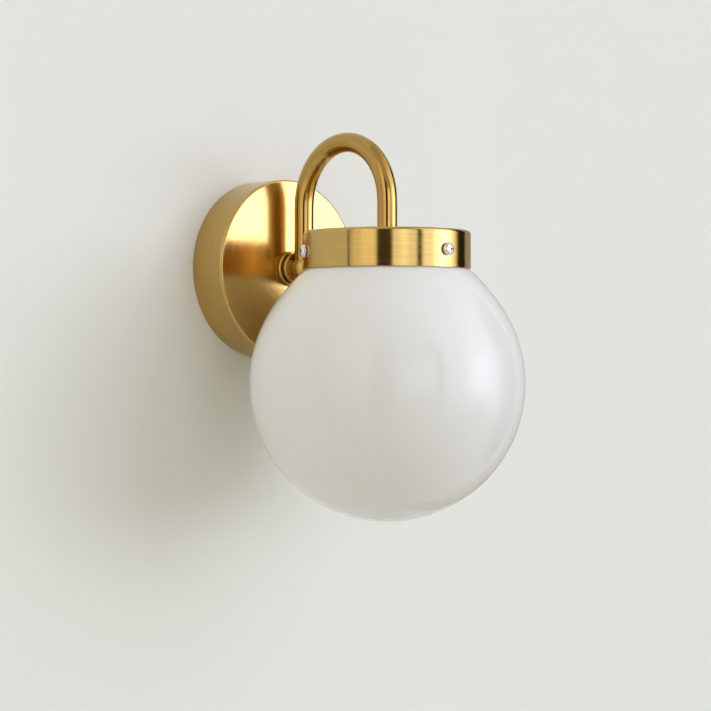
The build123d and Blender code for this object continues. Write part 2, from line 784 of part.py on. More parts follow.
# Diffuser: part of a ball, open at the seam.
bulb_in_r = bulb_r - bulb_globe_t
bulb_seam_in_r = sqrt(bulb_in_r**2 - bulb_globe_drop**2)
with BuildPart() as bulb_globe:
    with BuildSketch(drop_plane):
        with BuildLine():
            Line((0, bulb_z - bulb_in_r), (0, bulb_z - bulb_r))
            ThreePointArc((0, bulb_z - bulb_r), (bulb_r, bulb_z), (bulb_seam_r, bulb_neck_end_z))
            Line((bulb_seam_r, bulb_neck_end_z), (bulb_seam_in_r, bulb_neck_end_z))
            ThreePointArc((bulb_seam_in_r, bulb_neck_end_z), (bulb_in_r, bulb_z), (0, bulb_z - bulb_in_r))
        make_face()
    revolve(axis=drop_axis)

pieces = {
    "canopy": canopy,
    "crossbar": crossbar,
    "canopy_screws": canopy_screws,
    "earth_washer": earth_washer,
    "earth_screw": earth_screw,
    "terminal_block": terminal_block,
    "terminal_tubes": terminal_tubes,
    "terminal_screws": terminal_screws,
    "terminal_fixing_screw": terminal_fixing_screw,
    "stem_washer": stem_washer,
    "stem_nut": stem_nut,
    "collar_ring": collar_ring,
    "collar_seat": collar_seat,
    "elbow": elbow,
    "arm_tube": arm_tube,
    "holder_cap": holder_cap,
    "cap_washer": cap_washer,
    "cap_nut": cap_nut,
    "screw_inserts": screw_inserts,
    "globe_gasket": globe_gasket,
    "globe": globe,
    "socket_cap": socket_cap,
    "socket_body": socket_body,
    "socket_core": socket_core,
    "socket_shell": socket_shell,
    "socket_contact": socket_contact,
    "socket_terminals": socket_terminals,
    "bulb_contact": bulb_contact,
    "bulb_insulator": bulb_insulator,
    "bulb_base": bulb_base,
    "bulb_body": bulb_body,
    "bulb_globe": bulb_globe,
}
for name, piece in pieces.items():
    piece.part.label = name
    export_step(piece.part, f"parts/{name}.step")
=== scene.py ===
from math import asin, cos, pi, radians, sin, sqrt

import bmesh
import bpy
from mathutils import Matrix, Vector


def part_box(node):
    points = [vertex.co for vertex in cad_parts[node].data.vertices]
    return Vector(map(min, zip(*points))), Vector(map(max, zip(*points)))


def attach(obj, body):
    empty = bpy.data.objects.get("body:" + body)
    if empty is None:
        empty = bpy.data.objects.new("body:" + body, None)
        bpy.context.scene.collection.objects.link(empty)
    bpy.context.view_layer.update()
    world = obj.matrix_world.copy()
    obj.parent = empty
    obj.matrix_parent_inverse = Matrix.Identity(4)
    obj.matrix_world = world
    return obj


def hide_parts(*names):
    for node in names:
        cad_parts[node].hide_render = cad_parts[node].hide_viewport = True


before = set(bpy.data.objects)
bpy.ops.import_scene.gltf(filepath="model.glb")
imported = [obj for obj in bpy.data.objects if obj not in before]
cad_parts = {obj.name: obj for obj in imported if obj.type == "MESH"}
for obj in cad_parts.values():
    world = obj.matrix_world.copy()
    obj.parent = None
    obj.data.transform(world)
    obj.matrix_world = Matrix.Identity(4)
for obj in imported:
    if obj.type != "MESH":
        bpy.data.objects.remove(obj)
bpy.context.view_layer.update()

# ------------------------------------------------------------------------------------ canopy
# Round cup, spun from brass sheet over a former and open at the wall. Its front edge is
# rolled over a small radius, its face is brushed on the lathe, and the whole is lacquered.
mm = 0.001
near = 0.01 * mm            # how close a vertex lies to the place it is picked by
seam = 0.001 * mm           # vertices closer than this are one
origin = (0, 0, 0)
out_axis = (0, 1, 0)
up_axis = (0, 0, 1)
cup_steps = 256             # flats round a cup, and on its round edge
cup_edge_steps = 8
hole_steps = 64
canopy_low, canopy_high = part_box("canopy")
canopy_r = canopy_high.x
canopy_front = canopy_low.y
canopy_wall = 1.2 * mm
canopy_edge_r = 1.5 * mm
stem_hole_r = 5.2 * mm
canopy_screw_low, canopy_screw_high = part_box("canopy_screws")
canopy_screw_y = (canopy_screw_low.y + canopy_screw_high.y) / 2
canopy_screw_hole_r = 2.2 * mm


def outline(name, corners):
    """Draws an outline by extruding one corner to the next, and leaves it open for editing."""
    bpy.ops.object.select_all(action="DESELECT")
    bpy.ops.mesh.primitive_plane_add(size=mm, location=corners[0])
    piece = bpy.context.object
    piece.name = name
    bpy.ops.object.transform_apply(location=True, rotation=True, scale=True)
    bpy.ops.object.mode_set(mode="EDIT")
    bpy.ops.mesh.merge(type="CENTER")
    run_on(*corners)
    return piece


def run_on(*corners):
    """Takes the outline's last point on through more corners."""
    for here, there in zip(corners, corners[1:]):
        step = Vector(there) - Vector(here)
        bpy.ops.mesh.extrude_region_move(TRANSFORM_OT_translate={"value": step})


def pick(piece, kind, test):
    """Selects the vertices, edges or faces that pass a test, and nothing else."""
    bpy.ops.mesh.select_mode(type=kind)
    bpy.ops.mesh.select_all(action="DESELECT")
    shape = bmesh.from_edit_mesh(piece.data)
    items = {"VERT": shape.verts, "EDGE": shape.edges, "FACE": shape.faces}[kind]
    for item in items:
        if test(item):
            item.select_set(True)
    shape.select_flush_mode()
    bmesh.update_edit_mesh(piece.data)


def is_near(*corners):
    """A test for vertices that lie on one of the corners."""
    return lambda vertex: any((vertex.co - Vector(c)).length < near for c in corners)


def round_corners(piece, radius, segments, *corners):
    """Rounds right-angled corners of an outline."""
    pick(piece, "VERT", is_near(*corners))
    bpy.ops.mesh.bevel(offset=radius, segments=segments, affect="VERTICES")


def turn_outline(steps, centre, axis):
    """Turns the whole outline once round an axis, closes its seam and poles, and faces it outwards."""
    bpy.ops.mesh.select_all(action="SELECT")
    bpy.ops.mesh.spin(steps=steps, angle=2 * pi, center=centre, axis=axis)
    bpy.ops.mesh.select_all(action="SELECT")
    bpy.ops.mesh.remove_doubles(threshold=seam)
    bpy.ops.mesh.normals_make_consistent(inside=False)
    bpy.ops.object.mode_set(mode="OBJECT")


def modify(piece, kind, **settings):
    """Adds a modifier to a piece, sets it and applies it."""
    bpy.ops.object.select_all(action="DESELECT")
    piece.select_set(True)
    bpy.context.view_layer.objects.active = piece
    modifier = piece.modifiers.new(kind.lower(), kind)
    for name, value in settings.items():
        setattr(modifier, name, value)
    bpy.ops.object.modifier_apply(modifier=modifier.name)


def cut(piece, cutter):
    """Takes the cutter's shape out of a piece, and throws the cutter away."""
    modify(piece, "BOOLEAN", operation="DIFFERENCE", object=cutter, solver="EXACT")
    bpy.data.objects.remove(cutter)


def drill(piece, radius, start, end):
    """Drills a plain hole through a piece, from start to end."""
    run = Vector(end) - Vector(start)
    bpy.ops.object.select_all(action="DESELECT")
    bpy.ops.mesh.primitive_cylinder_add(vertices=hole_steps, radius=radius, depth=run.length)
    bit = bpy.context.object
    bit.data.transform(run.to_track_quat("Z", "Y").to_matrix().to_4x4())
    bit.data.transform(Matrix.Translation((Vector(start) + Vector(end)) / 2))
    cut(piece, bit)


def break_edges(piece, width, angle, segments=2):
    """Takes the sharpness off the edges that turn by more than an angle in degrees."""
    limit = radians(angle)
    modify(piece, "BEVEL", width=width, segments=segments, limit_method="ANGLE", angle_limit=limit)


def smooth(piece, angle=32):
    """Shades a piece smooth, apart from edges that turn by more than an angle in degrees."""
    bpy.ops.object.select_all(action="DESELECT")
    piece.select_set(True)
    bpy.context.view_layer.objects.active = piece
    bpy.ops.object.shade_smooth_by_angle(angle=radians(angle))
    modify(piece, "WEIGHTED_NORMAL", keep_sharp=True)


class Amount:
    """A socket among the nodes of a finish. A sum written with it adds the Math nodes."""

    def __init__(self, graph, socket):
        self.graph = graph
        self.socket = socket

    def math(self, operation, *values):
        """Adds one Math node and fills it with numbers or links."""
        return self.graph.node("ShaderNodeMath", {"operation": operation}, values)

    def __add__(self, other):
        return self.math("ADD", self, other)

    def __sub__(self, other):
        return self.math("SUBTRACT", self, other)

    def __rsub__(self, other):
        return self.math("SUBTRACT", other, self)

    def __mul__(self, other):
        return self.math("MULTIPLY", self, other)

    def __truediv__(self, other):
        return self.math("DIVIDE", self, other)

    def __pow__(self, other):
        return self.math("POWER", self, other)

    __radd__ = __add__
    __rmul__ = __mul__


class Graph:
    """The nodes of one material, or of the room."""

    def __init__(self, tree):
        self.tree = tree

    def node(self, kind, settings, values, output=0):
        """Adds a node, sets it, fills its sockets with numbers or links, and returns an output."""
        node = self.tree.nodes.new(kind)
        for name, value in settings.items():
            setattr(node, name, value)
        filled = values.items() if isinstance(values, dict) else enumerate(values)
        for key, value in filled:
            if isinstance(value, Amount):
                self.tree.links.new(value.socket, node.inputs[key])
            else:
                node.inputs[key].default_value = value
        return Amount(self, node.outputs[output])

    def split(self, vector):
        """The three parts of a vector."""
        parts = self.node("ShaderNodeSeparateXYZ", {}, [vector])
        return [Amount(self, socket) for socket in parts.socket.node.outputs]

    def rise(self, value, start, end):
        """Goes smoothly from 0 to 1 as a value goes from start to end."""
        settings = {"interpolation_type": "SMOOTHSTEP"}
        values = {"Value": value, "From Min": start, "From Max": end, "To Min": 0.0, "To Max": 1.0}
        return self.node("ShaderNodeMapRange", settings, values)

    def mix(self, share, low, high):
        """A colour that goes from low to high as share goes from 0 to 1."""
        return self.node("ShaderNodeMix", {"data_type": "RGBA"}, {0: share, 6: low, 7: high}, 2)


class Finish(Graph):
    """One material, with its Principled shader and the nodes that vary it over the surface."""

    def __init__(self, name, **constants):
        self.material = bpy.data.materials.new(name)
        self.material.use_nodes = True
        super().__init__(self.material.node_tree)
        self.skin = self.tree.nodes["Principled BSDF"]
        for socket, value in constants.items():
            self.skin.inputs[socket.replace("_", " ")].default_value = value

    def place(self):
        """The three coordinates of a point on the piece, in metres."""
        return self.split(self.node("ShaderNodeTexCoord", {}, {}, "Object"))

    def noise(self, x, y, z, detail=2.0, roughness=0.5):
        """Noise between 0 and 1, about one grain to each unit of x, y and z."""
        at = self.node("ShaderNodeCombineXYZ", {}, [x, y, z])
        values = {"Vector": at, "Scale": 1.0, "Detail": detail, "Roughness": roughness}
        return self.node("ShaderNodeTexNoise", {}, values)

    def grains(self, size, detail=2.0):
        """Noise whose grains have one size, in metres, in every direction."""
        x, y, z = self.place()
        return self.noise(x / size, y / size, z / size, detail=detail)

    def feed(self, socket, amount):
        """Lets an amount vary a socket of the shader over the surface."""
        self.tree.links.new(amount.socket, self.skin.inputs[socket])

    def emboss(self, height, depth):
        """Raises the surface by a height between 0 and 1, times a depth in metres."""
        values = {"Strength": 1.0, "Distance": depth, "Height": height}
        self.feed("Normal", self.node("ShaderNodeBump", {}, values, "Normal"))


brass_colour = (0.62, 0.42, 0.14, 1)
brass_dark = (0.54, 0.35, 0.105, 1)
least_r = 0.01 * mm         # keeps a division by the distance from an axis safe on the axis


def brush_turned(finish, across, along, line=0.22 * mm, depth=0.02 * mm, rough=0.1):
    """Fine lines round a turned piece: across is its two coordinates square to the axis."""
    side, up = across
    radius = (side * side + up * up) ** 0.5 + least_r
    level = (radius + along) / line
    lines = finish.noise(side / radius * 3, up / radius * 3, level, roughness=0.6)
    bands = finish.noise(side / radius * 2, up / radius * 2, level * 0.25)
    bands = finish.rise(bands, 0.3, 0.7)
    finish.feed("Base Color", finish.mix(lines * 0.4 + bands * 0.6, brass_dark, brass_colour))
    finish.feed("Roughness", rough + lines * 0.03 + bands * 0.04)
    finish.emboss(lines, depth)


def satin_brass(name):
    """Brass under a clear lacquer."""
    return Finish(name, Base_Color=brass_colour, Metallic=1.0, Roughness=0.13, Coat_Weight=0.15,
                  Coat_Roughness=0.06)


def dress(piece, finish, slot, body, *nodes):
    """Gives a finished piece its material, and says what it rides on and stands for."""
    piece.data.materials.clear()
    piece.data.materials.append(finish.material)
    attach(piece, body)
    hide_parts(*nodes)


canopy_rim_corner = (0, canopy_front, canopy_r)
canopy = outline("canopy_cup", [
    (0, 0, canopy_r),
    canopy_rim_corner,
    (0, canopy_front, stem_hole_r),
])
round_corners(canopy, canopy_edge_r, cup_edge_steps, canopy_rim_corner)
turn_outline(cup_steps, origin, out_axis)
modify(canopy, "SOLIDIFY", thickness=canopy_wall, offset=-1, use_even_offset=True)
above_canopy = (0, canopy_screw_y, canopy_r + mm)
below_canopy = (0, canopy_screw_y, -canopy_r - mm)
drill(canopy, canopy_screw_hole_r, above_canopy, below_canopy)
break_edges(canopy, 0.15 * mm, 50)
smooth(canopy)
canopy_finish = satin_brass("brass_canopy")
x, y, z = canopy_finish.place()
brush_turned(canopy_finish, (x, z), 0 - y, depth=0.03 * mm, rough=0.15)
dress(canopy, canopy_finish, "satin_brass", "root", "canopy")

# -------------------------------------------------------------- crossbar and canopy screws
# Steel strap, pressed, pierced and bent, then zinc plated. Two box screws hold it on the wall
# through its slots, and two grub screws in its ears hold the canopy.


def plated_steel(name, grain=0.6 * mm):
    """Dull zinc plate on pressed or cold-headed steel."""
    finish = Finish(name, Metallic=1.0, Roughness=0.35)
    clouds = finish.grains(6 * mm, detail=3.0)
    grains = finish.grains(grain)
    finish.feed("Base Color", finish.mix(clouds, (0.50, 0.51, 0.53, 1), (0.66, 0.67, 0.68, 1)))
    finish.feed("Roughness", 0.27 + clouds * 0.12 + grains * 0.08)
    finish.emboss(grains, 0.008 * mm)
    return finish


def paint(finish, *nodes):
    """Gives a CAD node its material."""
    for name in nodes:
        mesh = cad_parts[name].data
        mesh.materials.clear()
        mesh.materials.append(finish.material)


steel_finish = plated_steel("zinc_plate")
paint(steel_finish, "crossbar", "canopy_screws")

# ---------------------------------------------------------------------- earth screw and washer
# Brass pan-head screw and washer for the earth lead, turned from bar and left bare.


def bare_brass(name):
    """Turned brass without lacquer, a little dull."""
    finish = Finish(name, Metallic=1.0, Roughness=0.3)
    dull = finish.grains(2.5 * mm, detail=3.0)
    finish.feed("Base Color", finish.mix(dull, (0.52, 0.34, 0.13, 1), (0.78, 0.56, 0.25, 1)))
    finish.feed("Roughness", 0.22 + dull * 0.2)
    return finish


brass_finish = bare_brass("bare_brass")
paint(brass_finish, "earth_washer", "earth_screw")

# ------------------------------------------------------------------------------ terminal block
# Two-pole connector: brass tubes with clamping screws in a moulded white body, held on the
# strap by one screw.


def moulding(name, colour, roughness=0.42):
    """Moulded plastic with a fine spark-eroded texture."""
    finish = Finish(name, Base_Color=colour, Roughness=roughness)
    pits = finish.grains(0.35 * mm)
    finish.feed("Roughness", roughness - 0.05 + pits * 0.12)
    finish.emboss(pits, 0.012 * mm)
    return finish


white_finish = moulding("white_moulding", (0.80, 0.80, 0.77, 1))
paint(white_finish, "terminal_block")
paint(brass_finish, "terminal_tubes")
paint(steel_finish, "terminal_screws", "terminal_fixing_screw")

# ------------------------------------------------------------------------- stem washer and nut
# Toothed washer and thin hexagon nut on the elbow's hollow stem, inside the canopy.
paint(steel_finish, "stem_washer", "stem_nut")

# -------------------------------------------------------------------------------- collar rings
# Two turned brass rings between the canopy and the elbow: a plain one with round edges, and a
# stepped one whose narrow hub leaves a groove between them.
ring_low, ring_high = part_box("collar_ring")
ring_r = ring_high.x
ring_edge_r = 1.1 * mm
seat_low, seat_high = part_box("collar_seat")
seat_r = seat_high.x
seat_hub_r = 7.5 * mm
seat_hub_t = 1.2 * mm
seat_edge_r = 1.0 * mm
collar_steps = 160
collar_edge_steps = 6

ring_corners = [(0, ring_high.y, ring_r), (0, ring_low.y, ring_r)]
collar_ring = outline("collar_ring_turned", [
    (0, ring_high.y, stem_hole_r),
    *ring_corners,
    (0, ring_low.y, stem_hole_r),
    (0, ring_high.y, stem_hole_r),
])
round_corners(collar_ring, ring_edge_r, collar_edge_steps, *ring_corners)
turn_outline(collar_steps, origin, out_axis)
smooth(collar_ring)
collar_finish = satin_brass("brass_collars")
x, y, z = collar_finish.place()
brush_turned(collar_finish, (x, z), 0 - y, line=0.15 * mm)
dress(collar_ring, collar_finish, "satin_brass", "root", "collar_ring")

flange_back = seat_high.y - seat_hub_t
seat_corners = [(0, flange_back, seat_r), (0, seat_low.y, seat_r)]
collar_seat = outline("collar_seat_turned", [
    (0, seat_high.y, stem_hole_r),
    (0, seat_high.y, seat_hub_r),
    (0, flange_back, seat_hub_r),
    *seat_corners,
    (0, seat_low.y, stem_hole_r),
    (0, seat_high.y, stem_hole_r),
])
round_corners(collar_seat, seat_edge_r, collar_edge_steps, *seat_corners)
turn_outline(collar_steps, origin, out_axis)
smooth(collar_seat)
dress(collar_seat, collar_finish, "satin_brass", "root", "collar_seat")

# --------------------------------------------------------------------------------------- elbow
# Cast brass ball, turned with a short neck and a hollow screwed stem. The arm screws down into
# its flat top, and the stem goes back through both rings and the canopy.
elbow_low, elbow_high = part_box("elbow")
ball_r = elbow_high.x
ball_y = elbow_low.y + ball_r
arm_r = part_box("arm_tube")[1].x
ball_top = sqrt(ball_r ** 2 - arm_r ** 2)
neck_r = 5.5 * mm
stem_r = 5.0 * mm
stem_bore_r = 3.5 * mm
stem_pitch = 1.0 * mm
thread_depth = 0.5 * mm
thread_start = seat_high.y + 0.5 * mm
ball_steps = 48             # flats over the ball, and round it
elbow_steps = 128
stem_steps = 96

neck_turn = asin(neck_r / ball_r)
neck_on_ball = (0, ball_y + ball_r * cos(neck_turn), neck_r)
elbow = outline("elbow_ball", [(0, ball_y - ball_r, 0)])
bpy.ops.mesh.spin(steps=ball_steps, angle=pi - neck_turn, center=(0, ball_y, 0), axis=(1, 0, 0))
run_on(
    neck_on_ball,
    (0, seat_low.y, neck_r),
    (0, seat_low.y, stem_bore_r),
    (0, ball_y, stem_bore_r),
    (0, ball_y, 0),
)
turn_outline(elbow_steps, origin, out_axis)
bpy.ops.object.mode_set(mode="EDIT")
bpy.ops.mesh.select_all(action="SELECT")
bpy.ops.mesh.bisect(plane_co=(0, 0, ball_top), plane_no=up_axis, clear_outer=True, use_fill=True)
bpy.ops.object.mode_set(mode="OBJECT")
break_edges(elbow, 0.3 * mm, 25, segments=3)
smooth(elbow)
elbow_finish = satin_brass("brass_elbow")
x, y, z = elbow_finish.place()
brush_turned(elbow_finish, (x, z), 0 - y, line=0.5 * mm, depth=0.06 * mm, rough=0.24)
dress(elbow, elbow_finish, "satin_brass", "root", "elbow")

# The stem's thread is cut with a die: a ridge for each turn, and a chamfer at its end.
stem_turns = int((elbow_high.y - thread_start) / stem_pitch)
stem_root_r = stem_r - thread_depth
stem_corners = [(0, seat_low.y, stem_bore_r), (0, seat_low.y, stem_r), (0, thread_start, stem_r)]
for i in range(stem_turns):
    thread_y = thread_start + i * stem_pitch
    stem_corners.append((0, thread_y + stem_pitch / 2, stem_root_r))
    stem_corners.append((0, thread_y + stem_pitch, stem_r))
stem_corners.append((0, elbow_high.y, stem_root_r))
stem_corners.append((0, elbow_high.y, stem_bore_r))
stem_corners.append(stem_corners[0])
elbow_stem = outline("elbow_stem", stem_corners)
turn_outline(stem_steps, origin, out_axis)
smooth(elbow_stem, 20)
dress(elbow_stem, brass_finish, "satin_brass", "root", "elbow")

# -------------------------------------------------------------------------------- gooseneck arm
# Seamless brass tube, bent over half a turn without a kink. Both ends are turned down to the
# stem's thread and stop at a shoulder, one on the elbow and one on the holder.
arm_low, arm_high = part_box("arm_tube")
riser_y = arm_high.y - arm_r
leg_y = arm_low.y + arm_r
bend_r = (riser_y - leg_y) / 2
bend_z = arm_high.z - arm_r - bend_r
holder_low, holder_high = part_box("holder_cap")
arm_wall = 1.5 * mm
riser_screwed_in = 4.5 * mm
arm_steps = 96
arm_line = 0.9 * mm         # width and length of a polishing line
arm_streak = 30 * mm
# Painted shade: the arm's brass is set darker and more orange than the other brass pieces, to give the
# bent tube its dimmer look.
arm_shaded_colour = (0.52, 0.325, 0.09, 1)
arm_shaded_dark = (0.43, 0.255, 0.063, 1)

# The bend tightens over its first tenth and eases off over its last, as a tube bender leaves it.
bend_steps = 100
ease_steps = 10
eases = [min((min(i, bend_steps - 1 - i) + 0.5) / ease_steps, 1) for i in range(bend_steps)]
weights = [ease * ease * (3 - 2 * ease) for ease in eases]
turns = [pi * weight / sum(weights) for weight in weights]
headings = [sum(turns[:i]) + turns[i] / 2 for i in range(bend_steps)]
step_length = 2 * bend_r / sum(sin(heading) for heading in headings)
bend_rise = step_length * sum(cos(heading) for heading in headings[:bend_steps // 2])
bend_foot_z = arm_high.z - arm_r - bend_rise

bpy.ops.object.select_all(action="DESELECT")
bpy.ops.mesh.primitive_circle_add(vertices=arm_steps, radius=arm_r, location=(0, riser_y, ball_top))
arm = bpy.context.object
arm.name = "gooseneck"
bpy.ops.object.transform_apply(location=True, rotation=True, scale=True)
bpy.ops.object.mode_set(mode="EDIT")
bpy.ops.mesh.select_all(action="SELECT")
bpy.ops.mesh.extrude_region_move(TRANSFORM_OT_translate={"value": (0, 0, bend_foot_z - ball_top)})
middle = Vector((0, riser_y, bend_foot_z))
for turn, heading in zip(turns, headings):
    radius = step_length / (2 * sin(turn / 2))
    start, end = heading - turn / 2, heading + turn / 2
    pivot = middle + radius * Vector((0, -cos(start), -sin(start)))
    bpy.ops.mesh.spin(steps=1, angle=turn, center=pivot, axis=(-1, 0, 0))
    middle = pivot - radius * Vector((0, -cos(end), -sin(end)))
bpy.ops.mesh.extrude_region_move(TRANSFORM_OT_translate={"value": (0, 0, holder_high.z - bend_foot_z)})
turned_down = stem_r / arm_r
arm_ends = (
    (leg_y, holder_high.z, arm_low.z),
    (riser_y, ball_top, ball_top - riser_screwed_in),
)
for end_y, end_z, tip_z in arm_ends:
    pick(arm, "VERT", lambda v: abs(v.co.z - end_z) < seam and abs(v.co.y - end_y) < 2 * arm_r)
    bpy.ops.mesh.extrude_region_move(TRANSFORM_OT_translate={"value": (0, 0, 0)})
    bpy.ops.transform.resize(value=(turned_down, turned_down, 1), center_override=(0, end_y, end_z))
    bpy.ops.mesh.extrude_region_move(TRANSFORM_OT_translate={"value": (0, 0, tip_z - end_z)})
bpy.ops.mesh.select_all(action="SELECT")
bpy.ops.mesh.normals_make_consistent(inside=False)
bpy.ops.object.mode_set(mode="OBJECT")
modify(arm, "SOLIDIFY", thickness=arm_wall, offset=-1)
smooth(arm)


def brush_bent_tube(finish):
    """Fine lines along the tube, from polishing it lengthwise: straight, round the bend, straight."""
    x, y, z = finish.place()
    rise = (z - bend_z) * finish.node("ShaderNodeMath", {"operation": "GREATER_THAN"}, [z, bend_z])
    forward = y - (riser_y - bend_r)
    reach = (forward * forward + rise * rise) ** 0.5 - bend_r
    radius = (reach * reach + x * x) ** 0.5 + least_r
    along = z / arm_streak + forward / arm_streak
    lines_round = arm_r / arm_line
    lines = finish.noise(reach / radius * lines_round, x / radius * lines_round, along, detail=3.0)
    finish.feed("Base Color", finish.mix(finish.rise(lines, 0.3, 0.7), arm_shaded_dark, arm_shaded_colour))
    finish.feed("Roughness", 0.09 + lines * 0.06)
    finish.emboss(lines, 0.01 * mm)


arm_finish = satin_brass("brass_arm")
brush_bent_tube(arm_finish)
dress(arm, arm_finish, "satin_brass", "root", "arm_tube")

# --------------------------------------------------------------------------------- holder cup
# Shallow cup drawn from brass sheet, with a round top edge, brushed round its side and
# lacquered. Three holes in its side take the tapped inserts.
lamp_y = leg_y
cup_r = holder_high.x
cup_wall = 1.2 * mm
cup_edge_r = 1.8 * mm
globe_screws = ["globe_screw_front", "globe_screw_right", "globe_screw_left"]
front_low, front_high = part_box(globe_screws[0])
screw_z = (front_low.z + front_high.z) / 2
screw_turns = [2 * pi * i / len(globe_screws) for i in range(len(globe_screws))]
insert_hole_r = 2.8 * mm
drill_reach = 4 * mm        # how far a hole starts inside the cup's side and ends outside it
lamp_axis = Vector((0, lamp_y, 0))      # a point on the axis of the holder, globe and lamp

cup_corner = (cup_r, lamp_y, holder_high.z)
holder = outline("holder_cup", [
    (cup_r, lamp_y, holder_low.z),
    cup_corner,
    (stem_hole_r, lamp_y, holder_high.z),
])
round_corners(holder, cup_edge_r, cup_edge_steps, cup_corner)
turn_outline(cup_steps, lamp_axis, up_axis)
modify(holder, "SOLIDIFY", thickness=cup_wall, offset=-1, use_even_offset=True)
screw_level = Vector((0, lamp_y, screw_z))
for turn in screw_turns:
    away = Vector((sin(turn), -cos(turn), 0))
    inside = screw_level + away * (cup_r - drill_reach)
    outside = screw_level + away * (cup_r + drill_reach)
    drill(holder, insert_hole_r, inside, outside)
break_edges(holder, 0.12 * mm, 50)
smooth(holder)
holder_finish = satin_brass("brass_holder")
x, y, z = holder_finish.place()
brush_turned(holder_finish, (x, y - lamp_y), z, rough=0.07)
dress(holder, holder_finish, "satin_brass", "root", "holder_cap")

# Nut and toothed washer under the cup's roof, as in the canopy, and the inserts in its side.
paint(steel_finish, "cap_washer", "cap_nut")
paint(brass_finish, "screw_inserts")

# -------------------------------------------------------------------------------- globe screws
# Three bright pan-head screws with cross recesses. They go in through the inserts, and their
# tips catch under the globe's lip.
shank_r = 1.75 * mm
head_r = front_high.x
head_h = 2.6 * mm
head_edge_r = 2.3 * mm
recess_across = 4.8 * mm
recess_w = 1.2 * mm
recess_depth = 1.6 * mm
face_y = front_low.y
head_back = face_y + head_h
tip_chamfer = 0.4 * mm
screw_steps = 64
head_edge_steps = 6

head_corner = (0, face_y, screw_z + head_r)
screw = outline("globe_screw", [
    (0, face_y, screw_z),
    head_corner,
    (0, head_back, screw_z + head_r),
    (0, head_back, screw_z + shank_r),
    (0, front_high.y - tip_chamfer, screw_z + shank_r),
    (0, front_high.y, screw_z + shank_r - tip_chamfer),
    (0, front_high.y, screw_z),
])
round_corners(screw, head_edge_r, head_edge_steps, head_corner)
turn_outline(screw_steps, (0, 0, screw_z), out_axis)
for across, up in ((recess_across, recess_w), (recess_w, recess_across)):
    recess = (across, 2 * recess_depth, up)
    bpy.ops.object.select_all(action="DESELECT")
    bpy.ops.mesh.primitive_cube_add(size=1, location=(0, face_y, screw_z), scale=recess)
    cut(screw, bpy.context.object)
break_edges(screw, 0.1 * mm, 40)
smooth(screw)
chrome_finish = Finish("bright_plate", Base_Color=(0.80, 0.78, 0.77, 1), Metallic=1.0, Roughness=0.2)
swirl = chrome_finish.grains(1.5 * mm, detail=3.0)
chrome_finish.feed("Roughness", 0.15 + swirl * 0.12)
for name, turn in zip(globe_screws, screw_turns):
    copy = screw.copy()
    copy.data = screw.data.copy()
    copy.name = name + "_head"
    bpy.context.collection.objects.link(copy)
    round_lamp = Matrix.Rotation(turn, 4, "Z")
    copy.data.transform(Matrix.Translation(lamp_axis) @ round_lamp @ Matrix.Translation(-lamp_axis))
    dress(copy, chrome_finish, "bright_plate", name, name)
bpy.data.objects.remove(screw)

# ------------------------------------------------------------------------------ globe and ring
# Opal glass, blown into a mould: an inner opal layer under clear glass, with a fire-polished
# lip rolled outwards. A soft silicone ring above the lip keeps it from rattling.
globe_low, globe_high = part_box("globe")
globe_r = globe_high.x
globe_z = globe_low.z + globe_r
glass_t = 2.8 * mm
glass_neck_r = 40.0 * mm
lip_r = 42.5 * mm
lip_h = 5.3 * mm
lip_edge_r = 1.7 * mm
shoulder_lift = 2.2 * mm
shoulder_spread = 26 * mm
glass_steps = 96            # flats over the ball, round it, and on the lip's edges
globe_steps = 192
lip_edge_steps = 6
streak_across = 45 * mm     # size of the faint streaks in the glass
streak_up = 60 * mm

neck_turn = asin(glass_neck_r / globe_r)
foot_z = globe_z + globe_r * cos(neck_turn)
lip_foot_z = globe_high.z - lip_h
globe = outline("globe_glass", [(0, lamp_y, globe_low.z)])
globe_centre = (0, lamp_y, globe_z)
bpy.ops.mesh.spin(steps=glass_steps, angle=pi - neck_turn, center=globe_centre, axis=out_axis)
neck_foot = (glass_neck_r, lamp_y, foot_z)
lip_corners = [(lip_r, lamp_y, lip_foot_z), (lip_r, lamp_y, globe_high.z)]
glass_in_r = globe_r - glass_t
inner_neck_r = glass_neck_r - glass_t
inner_turn = asin(inner_neck_r / glass_in_r)
inner_foot = (inner_neck_r, lamp_y, globe_z + glass_in_r * cos(inner_turn))
run_on(
    neck_foot,
    (glass_neck_r, lamp_y, lip_foot_z),
    *lip_corners,
    (inner_neck_r, lamp_y, globe_high.z),
    inner_foot,
)
bpy.ops.mesh.spin(steps=glass_steps, angle=inner_turn - pi, center=globe_centre, axis=out_axis)

# The shoulder below the neck is a little fuller than a ball.
pick(globe, "VERT", is_near(neck_foot, inner_foot))
bpy.ops.transform.translate(
    value=(0, 0, shoulder_lift),
    use_proportional_edit=True,
    use_proportional_connected=True,
    proportional_edit_falloff="SMOOTH",
    proportional_size=shoulder_spread,
)
round_corners(globe, lip_edge_r, lip_edge_steps, *lip_corners)
turn_outline(globe_steps, lamp_axis, up_axis)
smooth(globe, 40)
opal = Finish("opal_glass", Roughness=0.05, IOR=1.5, Specular_IOR_Level=0.4, Subsurface_Weight=1.0,
              Subsurface_Radius=(1, 0.97, 0.9), Subsurface_Scale=4 * mm)
x, y, z = opal.place()
streaks = opal.noise(x / streak_across, y / streak_across, z / streak_up, detail=1.0)
opal.feed("Base Color", opal.mix(streaks, (0.895, 0.895, 0.865, 1), (0.925, 0.925, 0.90, 1)))
opal.emboss(streaks, 0.5 * mm)
dress(globe, opal, "opal_glass", "root", "globe")

silicone_finish = moulding("silicone_ring", (0.80, 0.80, 0.77, 1), 0.6)
paint(silicone_finish, "globe_gasket")

